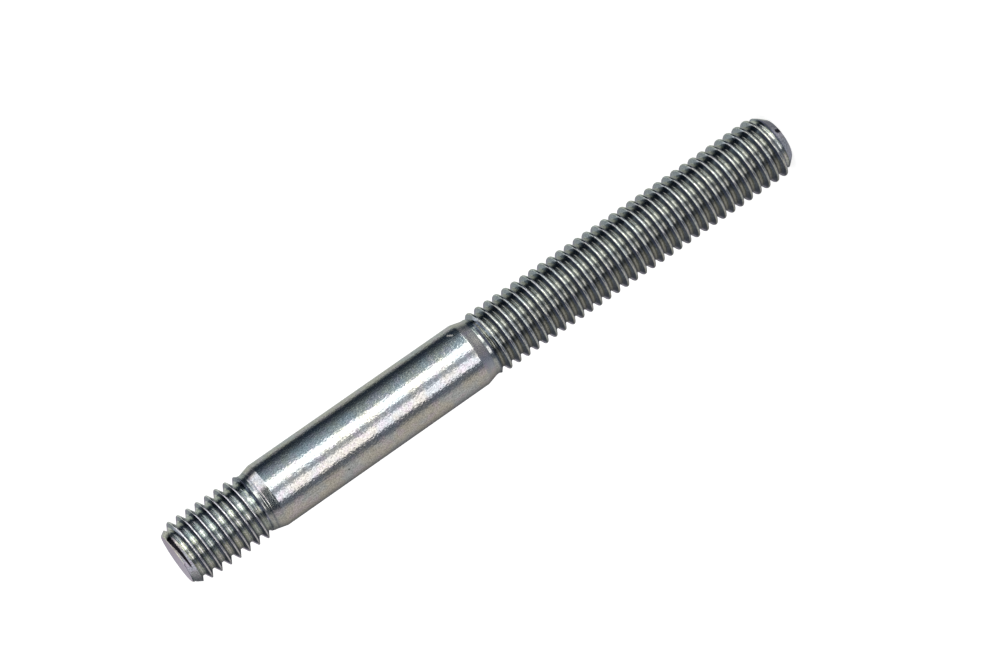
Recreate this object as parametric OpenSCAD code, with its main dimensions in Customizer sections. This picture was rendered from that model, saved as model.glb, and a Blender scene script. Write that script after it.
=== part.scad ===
// Double-ended stud bolt: a short setting thread, a plain shank and a long nut thread, turned and rolled
// from one bar. It stands on its nut end, with its axis on +Z and the centre of that end at the origin.

/* [Threads] */
// Pitch of both right-hand threads
pitch = 1.25; // [1.1:0.05:1.5]
// Diameter over the thread crests
thread_d = 7.8; // [7.6:0.05:8]
// Angle between the two flanks of a thread
thread_angle = 60; // [50:1:62]

/* [Nut end] */
// Length of the nut end, from its face to the taper
nut_l = 42.2; // [15:0.1:50]
// Angle round the axis at which the thread starts
nut_start = 261; // [0:1:359]
// Diameter of the flat end face
nut_face_d = 5.2; // [4.4:0.1:6.2]
// Length of the chamfer, from the face to the full thread
nut_chamfer_l = 1.5; // [0.8:0.1:2.5]
// Length of the plain neck where the thread runs out
nut_neck_l = 0.2; // [0.1:0.1:2]
// Length of the taper from the neck to the shank
nut_taper_l = 1.1; // [0.4:0.1:3]

/* [Setting end] */
// Length of the setting end, from its face to the taper
setting_l = 10.8; // [7:0.1:20]
// Angle round the axis at which the thread starts
setting_start = 205; // [0:1:359]
// Diameter of the flat end face
setting_face_d = 6.1; // [4.4:0.1:6.2]
// Length of the chamfer, from the face to the full thread
setting_chamfer_l = 1.4; // [0.8:0.1:2.5]
// Length of the plain neck where the thread runs out
setting_neck_l = 0.1; // [0.1:0.1:2]
// Length of the taper from the neck to the shank
setting_taper_l = 1.4; // [0.4:0.1:3]

/* [Shank] */
// Diameter of the plain shank
shank_d = 7.86; // [7.5:0.02:8.6]
// Length of the plain shank, between the tapers
shank_l = 27.5; // [3:0.1:60]
// Diameter of the bar that the threads are rolled on, seen at both necks
neck_d = 7.15; // [6.8:0.05:7.3]

/* [Facets] */
// Flats around one turn of a thread
turn_steps = 28; // [16:2:30]

/* [Hidden] */

stud_l = nut_l + nut_taper_l + shank_l + setting_taper_l + setting_l;

// Thread section: a crest flat, straight flanks and a root flat, in the metric proportions
depth_per_pitch = 0.6134;
crest_per_pitch = 1 / 8;
thread_depth = depth_per_pitch * pitch;
flank_l = thread_depth * tan(thread_angle / 2);
crest_l = crest_per_pitch * pitch;
root_l = pitch - 2 * flank_l - crest_l;
crest_r = thread_d / 2;
root_r = crest_r - thread_depth;

// One pitch of the section, as [height within the pitch, radius] corners
thread_section = [
    [0, root_r],
    [root_l, root_r],
    [root_l + flank_l, crest_r],
    [root_l + flank_l + crest_l, crest_r]
];
corners = len(thread_section);

// The thread fades over about two thirds of a turn, to just under the neck's own radius and just before it
runout_turns = 0.64;
runout_l = runout_turns * pitch;
faded_l = 0.1;
neck_step = 0.04;
faded_r = neck_d / 2 - neck_step;

// A corner nearer to an end plane than this moves onto it, so that no sliver is left
snap = pitch / turn_steps / 4;

function smooth(x) = let (t = min(1, max(0, x))) t * t * (3 - 2 * t);

// A right-hand thread from its free end at z = 0 up into its neck, as one closed helical surface.
// Each column of points runs up one side, and each row follows one corner of the section round the helix.
module thread(end_l, face_d, chamfer_l, neck_l)
{
    neck_z = end_l - neck_l;
    top_z = neck_z + neck_l / 2;
    chamfer_slope = (crest_r - face_d / 2) / chamfer_l;
    rows = corners * (ceil(top_z / pitch) + 2);
    columns = turn_steps;

    function raw_z(column, row) =
        pitch * (floor(row / corners) - 1 + column / columns) + thread_section[row % corners][0];
    function z_at(column, row) =
        let (z = raw_z(column, row)) z < snap ? 0 : z > top_z - snap ? top_z : z;
    function fade(z) = smooth((z - neck_z + runout_l) / (runout_l - faded_l));
    function r_at(z, row) =
        let (full_r = thread_section[row % corners][1], amount = fade(z))
        min(full_r * (1 - amount) + faded_r * amount, face_d / 2 + chamfer_slope * z);

    // All of a column's rows that lie on an end plane share one point
    function row_on(column, row) =
        let (z = z_at(column, row)) z == 0 ? 0 : z == top_z ? rows - 1 : row;
    // The column after the last is the first one, a turn further up
    function index(column, row) =
        let (
            wraps = column == columns,
            own_column = wraps ? 0 : column,
            own_row = min(rows - 1, wraps ? row + corners : row)
        )
        own_column * rows + row_on(own_column, own_row);

    points = [
        for (column = [0 : columns - 1], row = [0 : rows - 1])
            let (z = z_at(column, row), r = r_at(z, row), angle = 360 * column / columns)
            [r * cos(angle), r * sin(angle), z]
    ];
    sides = [
        for (column = [0 : columns - 1], row = [0 : rows - 2])
            let (
                low = index(column, row),
                low_next = index(column + 1, row),
                high = index(column, row + 1),
                high_next = index(column + 1, row + 1)
            )
            each [
                if (low_next != high_next) [low, high_next, low_next],
                if (low != high) [low, high, high_next]
            ]
    ];
    foot = [for (column = [0 : columns - 1]) index(column, 0)];
    head = [for (column = [columns - 1 : -1 : 0]) index(column, rows - 1)];

    polyhedron(points, concat(sides, [foot, head]), convexity = 10);
}

// The plain middle: neck, taper, shank, taper and neck, as one turned outline
module plain_middle()
{
    neck_r = neck_d / 2;
    shank_r = shank_d / 2;
    shank_z = nut_l + nut_taper_l;
    setting_z = stud_l - setting_l;

    rotate_extrude($fn = 96)
        polygon([
            [0, nut_l - nut_neck_l],
            [neck_r, nut_l - nut_neck_l],
            [neck_r, nut_l],
            [shank_r, shank_z],
            [shank_r, shank_z + shank_l],
            [neck_r, setting_z],
            [neck_r, setting_z + setting_neck_l],
            [0, setting_z + setting_neck_l]
        ]);
}

module stud()
{
    color("lightsteelblue")
        union() {
            plain_middle();
            rotate(nut_start)
                thread(nut_l, nut_face_d, nut_chamfer_l, nut_neck_l);
            translate([0, 0, stud_l])
                rotate(setting_start)
                    rotate([180, 0, 0])
                        thread(setting_l, setting_face_d, setting_chamfer_l, setting_neck_l);
        }
}

stud();
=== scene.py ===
"""Zinc-plated stud bolt: rolled threads and plated finish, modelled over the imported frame."""

import contextlib
import math

import bpy
from mathutils import Matrix, Vector


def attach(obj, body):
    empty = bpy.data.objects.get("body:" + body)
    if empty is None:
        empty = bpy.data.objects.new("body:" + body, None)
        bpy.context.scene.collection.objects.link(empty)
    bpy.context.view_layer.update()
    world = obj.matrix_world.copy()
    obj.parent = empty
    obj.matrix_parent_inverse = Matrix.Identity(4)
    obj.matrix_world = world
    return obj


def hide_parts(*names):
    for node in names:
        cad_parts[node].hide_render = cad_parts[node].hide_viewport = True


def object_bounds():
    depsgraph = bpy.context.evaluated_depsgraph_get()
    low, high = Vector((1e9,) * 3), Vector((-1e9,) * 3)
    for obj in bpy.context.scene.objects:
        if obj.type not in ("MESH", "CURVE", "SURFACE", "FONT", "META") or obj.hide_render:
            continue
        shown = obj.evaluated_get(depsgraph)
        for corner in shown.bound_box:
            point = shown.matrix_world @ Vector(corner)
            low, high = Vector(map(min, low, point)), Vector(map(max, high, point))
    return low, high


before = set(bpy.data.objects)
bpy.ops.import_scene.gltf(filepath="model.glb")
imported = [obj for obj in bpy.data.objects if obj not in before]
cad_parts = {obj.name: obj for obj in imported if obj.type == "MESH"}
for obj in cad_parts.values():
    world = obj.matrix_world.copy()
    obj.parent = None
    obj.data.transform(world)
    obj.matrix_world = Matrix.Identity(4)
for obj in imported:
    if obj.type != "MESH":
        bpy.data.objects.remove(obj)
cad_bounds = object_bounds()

bl_info = {
    "name": "Stud Bolt",
    "version": (1, 0, 0),
    "blender": (4, 5, 0),
    "location": "3D View > Sidebar > Stud Bolt",
    "description": "Models a double-ended stud with rolled threads and a zinc-plated finish",
    "category": "Add Mesh",
}

MM = 0.001

# Details of the rolling and turning, in millimetres, degrees and counts of steps
FLANK_LEAN = 30  # degrees between a thread's flank and the plane across the stud
ROUND_TURN = 90 - FLANK_LEAN  # degrees that a rolled round turns through, from a flank to its crest or root
CREST_STEPS = 3
ROOT_STEPS = 4
FADE_START = 0.8  # below the neck, where a thread starts to fade out
FADE_END = 0.1  # below the neck, where it has gone
NECK_INSET = 0.004  # by which a thread's rod stays inside the neck that it joins
NUT_NECK = 0.2  # from the end of the nut thread to the taper
SETTING_NECK = 0.1  # from the end of the setting thread to the taper
NUT_START = 261  # turn of the nut thread about the axis
SETTING_START = 205  # turn of the setting thread about the axis
CLEAR = 0.2  # by which a blank stands outside the crests


# Sizes and tints that the panel shows


class StudSizes(bpy.types.PropertyGroup):
    """Sizes of the stud and of its threads"""

    length: bpy.props.FloatProperty(
        name="Length",
        description="Length over both end faces",
        default=cad_bounds[1][2] - cad_bounds[0][2],
        unit="LENGTH",
    )
    pitch: bpy.props.FloatProperty(
        name="Pitch",
        description="Distance from one thread turn to the next",
        default=0.00125,
        unit="LENGTH",
    )
    crest_radius: bpy.props.FloatProperty(
        name="Crest Radius",
        description="From the axis to the thread's crests",
        default=0.0039,
        unit="LENGTH",
    )
    shank_radius: bpy.props.FloatProperty(
        name="Shank Radius",
        description="From the axis to the plain shank",
        default=cad_bounds[1][0],
        unit="LENGTH",
    )
    neck_radius: bpy.props.FloatProperty(
        name="Neck Radius",
        description="From the axis to the necks that the threads run out into",
        default=0.003575,
        unit="LENGTH",
    )
    nut_length: bpy.props.FloatProperty(
        name="Nut End",
        description="Length of the nut thread with its neck",
        default=0.0422,
        unit="LENGTH",
    )
    setting_length: bpy.props.FloatProperty(
        name="Setting End",
        description="Length of the setting thread with its neck",
        default=0.0108,
        unit="LENGTH",
    )
    nut_rounding: bpy.props.FloatProperty(
        name="Nut Crest Rounding",
        description="Radius rolled on the nut thread's crests",
        default=0.00014,
        unit="LENGTH",
    )
    setting_rounding: bpy.props.FloatProperty(
        name="Setting Crest Rounding",
        description="Radius rolled on the setting thread's crests",
        default=0.0001,
        unit="LENGTH",
    )
    steps: bpy.props.IntProperty(
        name="Steps",
        description="Steps in one turn",
        default=96,
        min=24,
        max=128,
    )


class StudTints(bpy.types.PropertyGroup):
    """Tints of the zinc plate"""

    cool: bpy.props.FloatVectorProperty(
        name="Cool",
        description="Bluish clouds in the plate",
        default=(0.66, 0.715, 0.715, 1),
        size=4,
        subtype="COLOR",
    )
    warm: bpy.props.FloatVectorProperty(
        name="Warm",
        description="Yellowish clouds in the plate",
        default=(0.755, 0.74, 0.64, 1),
        size=4,
        subtype="COLOR",
    )
    pink: bpy.props.FloatVectorProperty(
        name="Pink",
        description="Pink patches in the plate",
        default=(0.76, 0.69, 0.735, 1),
        size=4,
        subtype="COLOR",
    )
    thread: bpy.props.FloatVectorProperty(
        name="Thread",
        description="Greener plate on the threads",
        default=(0.68, 0.735, 0.645, 1),
        size=4,
        subtype="COLOR",
    )


# Mesh building in millimetres


def deselect():
    if bpy.context.mode != "OBJECT":
        bpy.ops.object.mode_set(mode="OBJECT")
    bpy.ops.object.select_all(action="DESELECT")


def activate(obj):
    deselect()
    obj.select_set(True)
    bpy.context.view_layer.objects.active = obj


@contextlib.contextmanager
def editing(obj):
    """Edit mode on one mesh, with all of it selected."""
    activate(obj)
    bpy.ops.object.mode_set(mode="EDIT")
    bpy.ops.mesh.select_all(action="SELECT")
    yield
    bpy.ops.object.mode_set(mode="OBJECT")


def close_seams(threshold):
    """Merges the doubles of the mesh in edit mode and turns its faces outwards."""
    bpy.ops.mesh.select_all(action="SELECT")
    bpy.ops.mesh.remove_doubles(threshold=threshold)
    bpy.ops.mesh.normals_make_consistent(inside=False)


def bisect(z, keep_above):
    """Cuts the mesh in edit mode at a height and closes the cut."""
    bpy.ops.mesh.select_all(action="SELECT")
    bpy.ops.mesh.bisect(
        plane_co=(0, 0, z),
        plane_no=(0, 0, 1),
        use_fill=True,
        clear_inner=keep_above,
        clear_outer=not keep_above,
        threshold=1e-6,
    )


def polyline(name, points):
    """One chain of edges through the points, drawn by extruding from a single vertex."""
    deselect()
    bpy.ops.mesh.primitive_plane_add(size=1, location=(0, 0, 0))
    obj = bpy.context.active_object
    obj.name = name
    with editing(obj):
        bpy.ops.mesh.merge(type="CENTER")
        here = Vector(points[0])
        bpy.ops.transform.translate(value=here)
        for point in points[1:]:
            step = Vector(point) - here
            bpy.ops.mesh.extrude_region_move(TRANSFORM_OT_translate={"value": step})
            here = Vector(point)
    return obj


def turned(name, outline, steps):
    """A solid turned from an outline of (radius, z) points that starts and ends on the axis."""
    obj = polyline(name, [(r, 0, z) for r, z in outline])
    with editing(obj):
        bpy.ops.mesh.spin(steps=steps, angle=math.tau, center=(0, 0, 0), axis=(0, 0, 1))
        close_seams(1e-5)
    return obj


def turn_about(obj, axis, degrees):
    """Turns the mesh about the origin."""
    with editing(obj):
        bpy.ops.transform.rotate(
            value=-math.radians(degrees),
            orient_axis=axis,
            orient_type="GLOBAL",
            center_override=(0, 0, 0),
        )


def lift(obj, z):
    """Moves the mesh along the axis."""
    with editing(obj):
        bpy.ops.transform.translate(value=(0, 0, z))


def combine(obj, other, operation):
    """Applies a Boolean with the other mesh and removes it."""
    activate(obj)
    boolean = obj.modifiers.new("Combine", "BOOLEAN")
    boolean.operation = operation
    boolean.solver = "MANIFOLD"
    boolean.object = other
    bpy.ops.object.modifier_apply(modifier=boolean.name)
    activate(other)
    bpy.ops.object.delete()
    if not obj.data.polygons:
        raise RuntimeError(f"the {operation} of {obj.name} left nothing")
    activate(obj)


# Threads, tapers and shank


def arc(centre, radius, start, end, count):
    """Points of (radius, z) on an arc; angles are from the outward direction toward +z."""
    points = []
    for i in range(count + 1):
        a = math.radians(start + (end - start) * i / count)
        points.append((centre[0] + radius * math.cos(a), centre[1] + radius * math.sin(a)))
    return points


def thread_section(sizes, depth, flat, crest_round, root_round):
    """One pitch of a thread's section from root to root, with leaning flanks and rolled rounds."""
    pitch = sizes.pitch / MM
    crest = sizes.crest_radius / MM
    lean = math.radians(FLANK_LEAN)
    rounds = crest_round + root_round
    flank = (depth - rounds / 2) * math.tan(lean)
    bed = pitch / 2 - flat / 2 - flank - rounds * math.cos(lean)
    if bed < 0:
        raise ValueError("the thread's rounds and flat don't fit its pitch")
    root = crest - depth
    low = root + root_round
    high = crest - crest_round
    section = [(root, 0)]
    section += arc((low, bed), root_round, 180, 180 - ROUND_TURN, ROOT_STEPS)
    section += arc((high, pitch / 2 - flat / 2), crest_round, -ROUND_TURN, 0, CREST_STEPS)
    section += arc((high, pitch / 2 + flat / 2), crest_round, 0, ROUND_TURN, CREST_STEPS)
    section += arc((low, pitch - bed), root_round, ROUND_TURN - 180, -180, ROOT_STEPS)
    section += [(root, pitch)]
    return section


def thread_rod(name, sizes, section, neck_z):
    """A solid rod, from below zero to past its neck, with a right-hand thread that fades out there."""
    pitch = sizes.pitch / MM
    first = pitch / 12 - 2 * pitch
    bottom = -0.2
    top = neck_z + 0.3
    obj = polyline(name, [(r, 0, z + first) for r, z in section])
    screw = obj.modifiers.new("Thread", "SCREW")
    screw.axis = "Z"
    screw.angle = math.tau
    screw.screw_offset = pitch
    screw.iterations = math.ceil((top - first) / pitch) + 2
    screw.steps = sizes.steps
    screw.render_steps = sizes.steps
    screw.use_merge_vertices = False
    bpy.ops.object.modifier_apply(modifier=screw.name)
    with editing(obj):
        bpy.ops.mesh.remove_doubles(threshold=1e-4)

    group = obj.vertex_groups.new(name="run_out")
    for vertex in obj.data.vertices:
        t = (vertex.co.z - neck_z + FADE_START) / (FADE_START - FADE_END)
        if t > 0:
            t = min(t, 1)
            group.add([vertex.index], t * t * (3 - 2 * t), "REPLACE")
    cast = obj.modifiers.new("Run Out", "CAST")
    cast.cast_type = "CYLINDER"
    cast.use_z = False
    cast.factor = 1
    cast.use_radius_as_size = False
    cast.size = sizes.neck_radius / MM - NECK_INSET
    cast.vertex_group = group.name
    bpy.ops.object.modifier_apply(modifier=cast.name)
    obj.vertex_groups.clear()

    with editing(obj):
        bisect(bottom, True)
        bisect(top, False)
        bpy.ops.mesh.select_all(action="SELECT")
        bpy.ops.mesh.normals_make_consistent(inside=False)
    return obj


def nut_end(sizes):
    """The nut thread, cut to the rounded chamfer of its end."""
    foot = sizes.nut_length / MM
    outside = sizes.crest_radius / MM + CLEAR
    section = thread_section(
        sizes, depth=0.66, flat=0.04, crest_round=sizes.nut_rounding / MM, root_round=0.14
    )
    rod = thread_rod("nut_rod", sizes, section, foot - NUT_NECK)
    outline = [
        (0, 0),
        (2.46, 0),
        (2.60, 0.07),
        (2.93, 0.42),
        (3.34, 0.92),
        (3.60, 1.32),
        (outside, 1.9),
        (outside, foot + 1),
        (0, foot + 1),
    ]
    combine(rod, turned("nut_blank", outline, 2 * sizes.steps), "INTERSECT")
    turn_about(rod, "Z", NUT_START)
    return rod


def setting_end(sizes):
    """The setting thread, cut to the chamfer of its end and turned over to the top of the stud."""
    neck_z = sizes.setting_length / MM - SETTING_NECK
    outside = sizes.crest_radius / MM + CLEAR
    section = thread_section(
        sizes, depth=0.767, flat=0.02, crest_round=sizes.setting_rounding / MM, root_round=0.10
    )
    rod = thread_rod("setting_rod", sizes, section, neck_z)
    outline = [
        (0, 0),
        (2.98, 0),
        (3.06, 0.05),
        (3.11, 0.14),
        (outside, 1.78),
        (outside, neck_z + 1),
        (0, neck_z + 1),
    ]
    combine(rod, turned("setting_blank", outline, 2 * sizes.steps), "INTERSECT")
    turn_about(rod, "X", 180)
    turn_about(rod, "Z", SETTING_START)
    lift(rod, sizes.length / MM)
    return rod


def taper(sizes, runs):
    """Points of (radius, distance from the thread's end) from a neck to the shank, with eased corners."""
    neck = sizes.neck_radius / MM
    shank = sizes.shank_radius / MM
    return list(zip((neck, neck + 0.01, shank - 0.02, shank - 0.006, shank), runs))


def plain_shank(sizes):
    """The plain shank between its two tapers and necks."""
    neck = sizes.neck_radius / MM
    foot = sizes.nut_length / MM
    top = (sizes.length - sizes.setting_length) / MM
    low_end = foot - NUT_NECK
    high_end = top + SETTING_NECK
    nut_taper = taper(sizes, (-0.06, 0.04, 1.26, 1.33, 1.42))
    setting_taper = taper(sizes, (-0.06, 0.06, 1.28, 1.34, 1.42))
    outline = [(0, low_end), (neck, low_end)]
    outline += [(r, foot + run) for r, run in nut_taper]
    outline += [(r, top - run) for r, run in reversed(setting_taper)]
    outline += [(neck, high_end), (0, high_end)]
    return turned("stud_finish", outline, 2 * sizes.steps)


# Procedural materials


class Sock:
    """An output socket whose arithmetic adds Math nodes."""

    def __init__(self, tree, socket=None):
        self.tree = tree
        self.socket = socket

    def node(self, kind, settings=None, inputs=None, out=0):
        """Adds any node from its type, settings and inputs, and returns one of its outputs."""
        made = self.tree.nodes.new(kind)
        for key, value in (settings or {}).items():
            setattr(made, key, value)
        for key, value in (inputs or {}).items():
            if isinstance(value, Sock):
                self.tree.links.new(value.socket, made.inputs[key])
            else:
                made.inputs[key].default_value = value
        return Sock(self.tree, made.outputs[out])

    def math(self, operation, *values):
        return self.node("ShaderNodeMath", {"operation": operation}, dict(enumerate(values)))

    def __add__(self, other):
        return self.math("ADD", self, other)

    def __radd__(self, other):
        return self.math("ADD", other, self)

    def __sub__(self, other):
        return self.math("SUBTRACT", self, other)

    def __rsub__(self, other):
        return self.math("SUBTRACT", other, self)

    def __mul__(self, other):
        return self.math("MULTIPLY", self, other)

    def __rmul__(self, other):
        return self.math("MULTIPLY", other, self)

    def __pow__(self, other):
        return self.math("POWER", self, other)

    def __rpow__(self, other):
        return self.math("POWER", other, self)

    def __neg__(self):
        return self.math("MULTIPLY", self, -1)

    def __abs__(self):
        return self.math("ABSOLUTE", self)

    def rise(self, start, end):
        """Rises smoothly from 0 at start to 1 at end."""
        return self.node(
            "ShaderNodeMapRange",
            {"interpolation_type": "SMOOTHSTEP"},
            {"Value": self, "From Min": start, "From Max": end},
        )

    def fall(self, start, end):
        """Falls smoothly from 1 at start to 0 at end."""
        return 1 - self.rise(start, end)

    def near(self, centre, inner, outer):
        """Is 1 within inner of the centre and falls smoothly to 0 at outer."""
        return abs(self - centre).fall(inner, outer)

    def blend(self, low, high):
        """Mixes two colours by this value."""
        return self.node(
            "ShaderNodeMix",
            {"data_type": "RGBA"},
            {"Factor": self, 6: low, 7: high},
            out=2,
        )

    def vector(self, operation, inputs, out=0):
        """Adds a Vector Math node, for colours too."""
        return self.node("ShaderNodeVectorMath", {"operation": operation}, inputs, out)

    def split(self):
        """The three parts of a vector."""
        parts = self.node("ShaderNodeSeparateXYZ", inputs={0: self}).socket.node.outputs
        return [Sock(self.tree, part) for part in parts]


def new_tree(name):
    """A material with an empty tree and its output node."""
    material = bpy.data.materials.new(name)
    material.use_nodes = True
    material.node_tree.nodes.clear()
    output = material.node_tree.nodes.new("ShaderNodeOutputMaterial")
    return material, material.node_tree, output


def zinc_plate(tints):
    """Bright zinc plate with a mottled grain; heights and radii are in millimetres on the stud."""
    material, tree, output = new_tree("zinc_plate")
    start = Sock(tree).node("ShaderNodeTexCoord", out="Object")
    place = start.vector("SCALE", {0: start, "Scale": 1 / MM})
    x, y, z = place.split()
    radius = (x * x + y * y) ** 0.5
    around = y.math("ARCTAN2", y, x) * (180 / math.pi)

    def noise(scale, detail, rough=0.5, stretch=None):
        vector = place
        if stretch:
            vector = start.vector("MULTIPLY", {0: place, 1: stretch})
        return start.node(
            "ShaderNodeTexNoise",
            inputs={"Vector": vector, "Scale": scale, "Detail": detail, "Roughness": rough},
        )

    def mark(point, inner, outer):
        return start.vector("DISTANCE", {0: place, 1: point}, out=1).fall(inner, outer)

    # Tints of the plate, in clouds and patches
    cloud = noise(0.3, 3)
    patch = noise(0.8, 4)
    speck = noise(6.0, 2)
    tint = cloud.rise(0.4, 0.6).blend(tints.cool, tints.warm)
    tint = (patch.rise(0.48, 0.66) * 0.7).blend(tint, tints.pink)

    # Threads, greener than the bar, with painted shade and a painted highlight: flanks painted darker than
    # the crests, nut roots painted darker, and a painted highlight on the setting crests
    nut_root = (3.33, 3.43)
    setting_root = (3.36, 3.46)
    # Painted shade: dark bluish colours for the flanks of the setting and nut threads
    setting_flank_shade = (0.18, 0.21, 0.265, 1)
    nut_flank_shade = (0.245, 0.285, 0.355, 1)
    # Painted shade for the nut roots
    painted_root_shade = (0.365, 0.375, 0.325, 1)
    # Painted highlight for the setting crests
    painted_crest_highlight = (0.92, 0.92, 0.90, 1)
    plain = z.near(57.1, 14.6, 14.9)
    thread = (1 - plain) * z.fall(81.9, 82.2)
    tint = (thread * 0.5).blend(tint, tints.thread)
    nut_side = z.fall(50, 51)
    depth = nut_side * radius.rise(*nut_root) + (1 - nut_side) * radius.rise(*setting_root)
    # Mask of the painted shade on the flanks, eased off at the necks
    necks = z.near(42.1, 0.2, 0.35) + z.near(72.25, 0.2, 0.35)
    flank = depth * radius.fall(3.80, 3.85) * thread * (1 - 0.7 * necks)
    # Painted shade blended into the flanks, a little less strongly on the nut thread
    shade = nut_side.blend(setting_flank_shade, nut_flank_shade)
    tint = (flank * (0.87 - 0.12 * nut_side)).blend(tint, shade)
    # Painted shade in the nut thread's roots, left off near the nut end
    root = nut_side * radius.fall(*nut_root) * z.rise(1.6, 2.0)
    tint = root.blend(tint, painted_root_shade)
    # Painted highlight on the setting thread's crests
    crest = (1 - nut_side) * radius.rise(3.84, 3.87) * thread
    tint = crest.blend(tint, painted_crest_highlight)

    # Small marks: the seam that rolling left at the setting end, a chip at the nut end, a pit and a nick;
    # the seam, chip and pit are painted very dark as painted shade in hollows that the mesh leaves out
    climb = z - 82.62 - 1.25 / 360 * (around + 81)
    half = (0.10 + 0.003 * (around + 114)) * (0.5 + speck)
    seam = abs(climb).fall(0.75 * half, half)
    seam = seam * around.rise(-124, -114) * around.fall(-42, -39) * z.rise(82.2, 82.3)
    seam = seam * radius.rise(3.0, 3.05)
    chip = mark((0.837, -2.881, 0.5), 0.24, 0.34) + mark((0.764, -2.631, 0.2), 0.24, 0.34)
    pit = mark((-2.75, -2.807, 62.275), 0.08, 0.18)
    nick = mark((3.076, -2.446, 44.75), 0.05, 0.2) + mark((2.953, -2.593, 44.565), 0.08, 0.22)
    nick = (nick + mark((2.827, -2.730, 44.38), 0.05, 0.2)).rise(0, 1)
    # Painted shade for the seam, chip and pit
    painted_hollow_shade = (0.02, 0.02, 0.025, 1)
    bright = (0.8, 0.8, 0.78, 1)
    nut_taper = z.near(42.85, 0.6, 0.7)
    mottle = 1 + (1.6 - 1.1 * nut_taper) * (speck - 0.5)
    tint = start.vector("SCALE", {0: tint, "Scale": mottle})
    # Painted shade: the seam and chip fully, the pit at 0.7
    tint = (seam + chip + pit * 0.7).blend(tint, painted_hollow_shade)
    tint = nick.blend(tint, bright)

    # Grain of the drawn bar, tool rings on the setting end's taper, and the finer grain of the threads
    grain = noise(4.2, 1)
    fine = noise(9, 2)
    drawn = noise(2.6, 3, 0.6, (1.6, 1.6, 0.3))
    rings = z.near(72.36, 0.03, 0.09) + z.near(72.08, 0.03, 0.09) + z.near(71.8, 0.03, 0.09)
    bar = z.near(57.05, 13.7, 14.1)
    height = (0.62 * grain + 0.25 * drawn) * bar + 0.12 * grain + 0.1 * fine - 0.25 * rings
    bump = start.node(
        "ShaderNodeBump",
        inputs={"Height": height, "Strength": 0.7, "Distance": 0.00004},
    )
    setting_taper = z.near(71.5, 0.6, 0.8)
    rough = 0.10 + 0.06 * grain + 0.02 * plain + 0.12 * nut_taper + 0.05 * setting_taper
    steel = start.node(
        "ShaderNodeBsdfPrincipled",
        inputs={"Base Color": tint, "Roughness": rough, "Metallic": 1 - nick, "Normal": bump},
    )
    tree.links.new(steel.socket, output.inputs["Surface"])
    return material


def ray_kind(tree, name):
    """Is 1 for one kind of light path, such as the camera's."""
    return Sock(tree).node("ShaderNodeLightPath", out=name)


def white_floor():
    """Matte white paper that keeps the stud's shadow."""
    material, tree, output = new_tree("white_floor")
    seen = ray_kind(tree, "Is Camera Ray") + ray_kind(tree, "Is Glossy Ray")
    seen = seen + ray_kind(tree, "Is Transmission Ray")
    glow = seen.node("ShaderNodeEmission", inputs={"Color": (1, 1, 1, 1), "Strength": seen * 0.8})
    matte = seen.node("ShaderNodeBsdfDiffuse", inputs={"Color": (0.62, 0.62, 0.62, 1)})
    both = seen.node("ShaderNodeAddShader", inputs={0: glow, 1: matte})
    tree.links.new(both.socket, output.inputs["Surface"])
    return material


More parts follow.
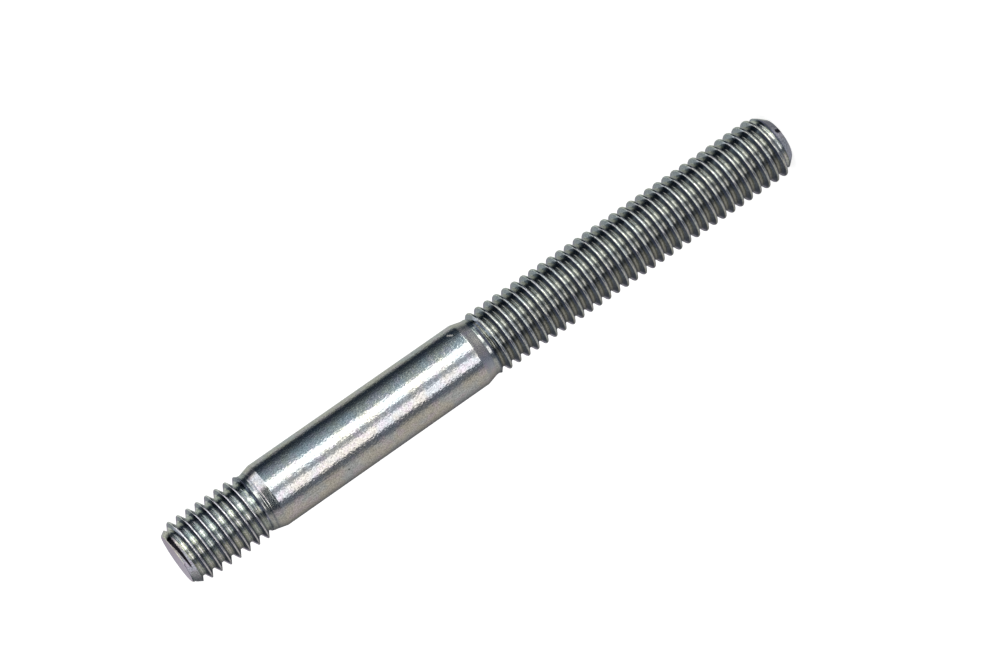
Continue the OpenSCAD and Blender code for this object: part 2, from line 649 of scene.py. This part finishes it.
def studio_world():
    """White to the camera, and to the plate a dim studio with two strip lights and dark gaps."""
    world = bpy.context.scene.world or bpy.data.worlds.new("studio")
    bpy.context.scene.world = world
    world.use_nodes = True
    tree = world.node_tree
    tree.nodes.clear()
    output = tree.nodes.new("ShaderNodeOutputWorld")
    ray = Sock(tree).node("ShaderNodeTexCoord", out="Generated")
    x, y, z = ray.split()

    # Degrees round from the camera's side, degrees above level, and the bands that the zones share
    side = (-x).math("ARCTAN2", -x, -y) * (180 / math.pi)
    rise = z.math("ARCSINE", z) * (180 / math.pi)
    mid = rise.near(-10, 19, 25)
    upper = rise.rise(9, 15) * rise.fall(36, 43)
    cap = rise.rise(36, 43) * rise.fall(62, 72)
    low = rise.fall(-35, -29)
    nadir = rise.fall(-75, -60)

    # The two strips, what lies between and beside them, and the surround
    left = side.near(-25.5, 11, 18) * mid
    right = side.near(25, 10, 17) * rise.near(-11.5, 10, 15)
    gap = side.near(0, 7, 20) * mid
    dusk = side.near(52, 9, 16) * mid
    wing = side.rise(-112, -46) ** 1.7 * side.fall(-44, -34) * mid
    glow = side.near(-62, 28, 36) * rise.rise(1, 7) * rise.fall(28, 35)
    arch = side.near(-14, 50, 60) * rise.near(40, 7, 10) * (1.6 + 0.6 * side.rise(0, 14))
    tail = side.near(-54, 20, 30) * rise.near(-22.5, 3.5, 6.5)
    brow = side.near(15, 25, 38) * upper
    wall = side.rise(57, 74) * (1 - side.rise(100, 165) * 0.75) * mid
    slope = side.rise(52, 74) * (1 - side.rise(100, 150) * 0.8) * upper
    behind = abs(side).rise(164, 172) * rise.near(6, 4, 9)
    back = side.fall(-134, -112) * rise.rise(-40, -25) * (1 - behind)
    back = back * (0.44 + 0.07 * rise.rise(8, 24))
    crown = cap * (1 - side.rise(95, 140) * 0.75)
    under = low * (0.18 + 0.09 * side.rise(56, 72)) + nadir * (0.16 - 0.16 * side.rise(-20, 60))
    zenith = rise.rise(69, 75)
    zones = (
        (left, 1.75, (1, 1, 1)),
        (right, 1.25, (1, 0.955, 1.0)),
        (gap, 0.40, (0.96, 0.99, 1.1)),
        (dusk, 0.11, (0.98, 1, 1.14)),
        (wing, 0.40, (0.80, 0.97, 1.09)),
        (glow, 1, (1.0, 0.96, 1.04)),
        (arch, 1, (1.02, 1, 0.96)),
        (tail, 1.25, (1.02, 1, 0.94)),
        (brow, 0.03, (0.98, 1.02, 0.86)),
        (wall, 0.40, (1.06, 0.98, 0.92)),
        (slope, 0.33, (1.03, 0.99, 0.96)),
        (behind, 0.32, (1.05, 0.92, 1.1)),
        (back, 1, (0.98, 1.02, 0.95)),
        (crown, 0.5, (1.02, 0.95, 1.06)),
        (under, 1, (0.96, 0.92, 1.12)),
        (zenith, 0.9, (1.04, 0.98, 0.92)),
    )
    studio = (0.017, 0.025, 0.040)
    for zone, strength, colour in zones:
        lit = ray.vector("SCALE", {0: colour, "Scale": zone * strength})
        studio = ray.vector("ADD", {0: studio, 1: lit})

    fill = ray_kind(tree, "Is Glossy Ray").blend((0.25, 0.25, 0.25, 1), studio)
    colour = ray_kind(tree, "Is Camera Ray").blend(fill, (1, 1, 1, 1))
    surface = ray.node("ShaderNodeBackground", inputs={"Color": colour, "Strength": 1.0})
    tree.links.new(surface.socket, output.inputs["Surface"])


# Operators


class MESH_OT_stud_body(bpy.types.Operator):
    """Model the stud with its two threads, shank and necks"""

    bl_idname = "mesh.stud_body"
    bl_label = "Stud Body"

    def execute(self, context):
        sizes = context.scene.stud_sizes
        nut = nut_end(sizes)
        setting = setting_end(sizes)
        body = plain_shank(sizes)
        combine(body, nut, "UNION")
        combine(body, setting, "UNION")
        with editing(body):
            close_seams(1e-4)
        bpy.ops.object.shade_smooth_by_angle(angle=math.radians(32))
        flat = body.modifiers.new("Flat Flanks", "WEIGHTED_NORMAL")
        flat.mode = "FACE_AREA"
        flat.weight = 100
        flat.keep_sharp = True
        bpy.ops.object.modifier_apply(modifier=flat.name)
        with editing(body):
            bpy.ops.transform.resize(value=(MM, MM, MM), center_override=(0, 0, 0))
        body.data.materials.clear()
        body.data.materials.append(zinc_plate(context.scene.stud_tints))
        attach(body, "root")
        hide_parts("stud")
        return {"FINISHED"}


class SCENE_OT_stud_stage(bpy.types.Operator):
    """Set the floor, light, world and camera"""

    bl_idname = "scene.stud_stage"
    bl_label = "Stud Stage"

    def execute(self, context):
        scene = context.scene
        scene.view_settings.view_transform = "Standard"
        deselect()
        bpy.ops.mesh.primitive_circle_add(vertices=96, radius=6, fill_type="NGON", location=(0, 0, 0))
        floor = context.active_object
        floor.name = "floor"
        floor.data.materials.append(white_floor())
        floor.visible_glossy = False
        studio_world()

        bpy.ops.object.light_add(type="SUN", location=(0, -0.4, 0.6))
        lamp = context.active_object
        lamp.name = "soft_key"
        lamp.data.angle = math.radians(40)
        lamp.data.energy = 1.1
        lamp.rotation_euler = (Vector((0, 0, 0)) - lamp.location).to_track_quat("-Z", "Y").to_euler()
        lamp.visible_glossy = False

        # The camera: its lens and its aim past the stud's middle are in pixels of a picture this wide
        picture_width = 1000
        focal = 3768.94
        aim_right = 16.33
        aim_up = 11.67
        tilt = math.radians(11.5)
        roll = math.radians(-124.931)
        distance = 0.41795
        middle = Vector((0, 0, scene.stud_sizes.length / 2))
        forward = Vector((0, math.cos(tilt), -math.sin(tilt)))
        across = Vector((1, 0, 0))
        upright = across.cross(forward)
        right = across * math.cos(roll) + upright * math.sin(roll)
        up = upright * math.cos(roll) - across * math.sin(roll)
        aim = (forward * focal + right * aim_right + up * aim_up).normalized()
        right = (right - aim * right.dot(aim)).normalized()
        up = right.cross(aim)
        bpy.ops.object.camera_add()
        camera = context.active_object
        camera.name = "camera"
        turn = Matrix((right, up, -aim)).transposed().to_4x4()
        camera.matrix_world = Matrix.Translation(middle - forward * distance) @ turn
        camera.data.sensor_width = 36
        camera.data.lens = focal * camera.data.sensor_width / picture_width
        camera.data.clip_start = 0.01
        camera.data.clip_end = 50
        scene.camera = camera
        return {"FINISHED"}


class VIEW3D_PT_stud(bpy.types.Panel):
    """Sizes and tints of the stud"""

    bl_idname = "VIEW3D_PT_stud"
    bl_label = "Stud Bolt"
    bl_space_type = "VIEW_3D"
    bl_region_type = "UI"
    bl_category = "Stud Bolt"

    def draw(self, context):
        column = self.layout.column()
        for group in (context.scene.stud_sizes, context.scene.stud_tints):
            for name in type(group).__annotations__:
                column.prop(group, name)
        column.operator(MESH_OT_stud_body.bl_idname)
        column.operator(SCENE_OT_stud_stage.bl_idname)


CLASSES = (StudSizes, StudTints, MESH_OT_stud_body, SCENE_OT_stud_stage, VIEW3D_PT_stud)


def register():
    for item in CLASSES:
        bpy.utils.register_class(item)
    bpy.types.Scene.stud_sizes = bpy.props.PointerProperty(type=StudSizes)
    bpy.types.Scene.stud_tints = bpy.props.PointerProperty(type=StudTints)


def unregister():
    del bpy.types.Scene.stud_tints
    del bpy.types.Scene.stud_sizes
    for item in reversed(CLASSES):
        bpy.utils.unregister_class(item)


def main():
    register()
    bpy.ops.mesh.stud_body()
    bpy.ops.scene.stud_stage()


if __name__ == "__main__":
    main()
